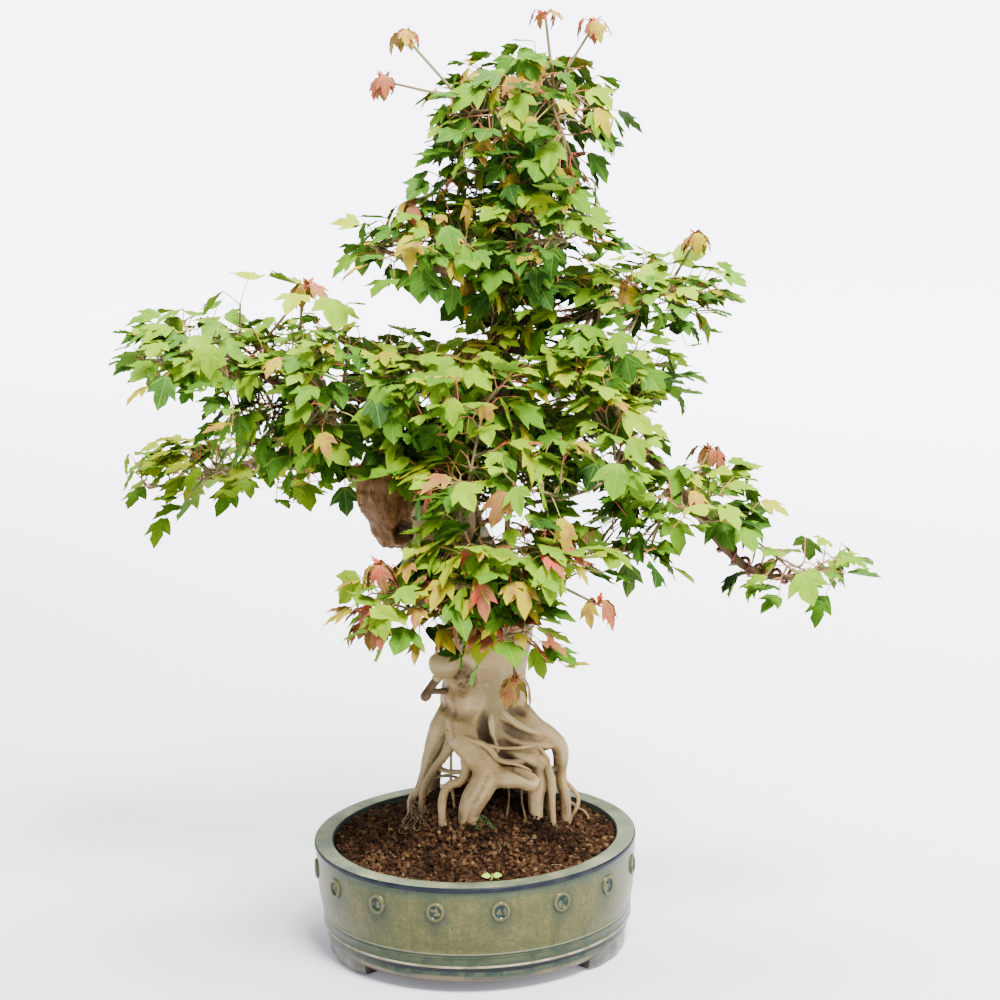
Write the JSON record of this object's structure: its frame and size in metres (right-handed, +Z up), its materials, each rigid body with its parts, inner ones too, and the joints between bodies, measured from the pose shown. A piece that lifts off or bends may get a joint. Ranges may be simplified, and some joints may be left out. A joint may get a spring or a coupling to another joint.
{
  "type": "bonsai",
  "caption": "Trident maple bonsai with exposed surface roots, an old stub and tiered leafy pads, standing in a round glazed stoneware pot with a ring of bosses and cloud feet.",
  "frame": {"origin": "centre of the whole part's box, on the surface that the three feet stand on", "axes": "+Z up; the front of the tree faces -Y; +X is to the right as seen from the front"},
  "size_m": [0.6172, 0.3318, 0.7457],
  "materials": {
    "glaze": "gloss",
    "soil": "matte",
    "net": "matte",
    "bark": "matte",
    "leaf": "satin",
    "young_leaf": "satin",
    "wire": "satin",
    "seedling": "satin"
  },
  "bodies": {
    "root": {"drain_net": "net", "pot": "glaze", "soil": "soil", "spray_01": "leaf", "spray_02": "leaf", "spray_03": "leaf", "spray_04": "leaf", "spray_05": "leaf", "spray_06": "leaf", "spray_07": "leaf", "spray_08": "leaf", "spray_09": "leaf", "spray_10": "leaf", "spray_11": "leaf", "spray_12": "leaf", "spray_13": "leaf", "spray_14": "leaf", "spray_15": "leaf", "spray_16": "leaf", "spray_17": "leaf", "spray_18": "leaf", "spray_19": "leaf", "spray_20": "leaf", "spray_21": "leaf", "spray_22": "leaf", "spray_23": "leaf", "spray_24": "leaf", "spray_25": "leaf", "spray_26": "leaf", "spray_27": "leaf", "spray_28": "leaf", "spray_29": "leaf", "spray_30": "leaf", "spray_31": "leaf", "spray_32": "leaf", "sprout": "seedling", "tip_01": "young_leaf", "tip_02": "young_leaf", "tip_03": "young_leaf", "tip_04": "young_leaf", "tip_05": "young_leaf", "tip_06": "young_leaf", "tip_07": "young_leaf", "tip_08": "young_leaf", "tip_09": "young_leaf", "tip_10": "young_leaf", "tip_11": "young_leaf", "tip_12": "young_leaf", "tip_13": "young_leaf", "wire_back": "wire", "wire_left": "wire", "wire_right": "wire", "wood": "bark"}
  },
  "joints": []
}
